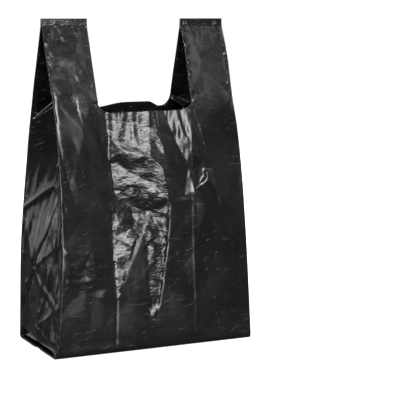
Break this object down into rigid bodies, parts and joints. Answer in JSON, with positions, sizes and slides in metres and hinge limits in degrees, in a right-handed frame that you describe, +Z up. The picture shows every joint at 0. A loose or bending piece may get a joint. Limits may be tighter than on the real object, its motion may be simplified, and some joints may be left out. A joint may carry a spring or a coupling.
{
  "type": "plastic carrier bag",
  "caption": "Glossy black plastic vest carrier bag, standing open, with folded side gussets, a U-shaped mouth and two welded loop handles.",
  "frame": {"origin": "centre of the bounding box's bottom, on the surface the bag stands on", "axes": "+Z up, X along the width of the front panel, +Y from the front panel towards the rear one"},
  "size_m": [0.2922, 0.149, 0.45],
  "materials": {
    "black_film": "glossy crumpled film"
  },
  "bodies": {
    "root": {"carrier_bag": "black_film"}
  },
  "joints": []
}
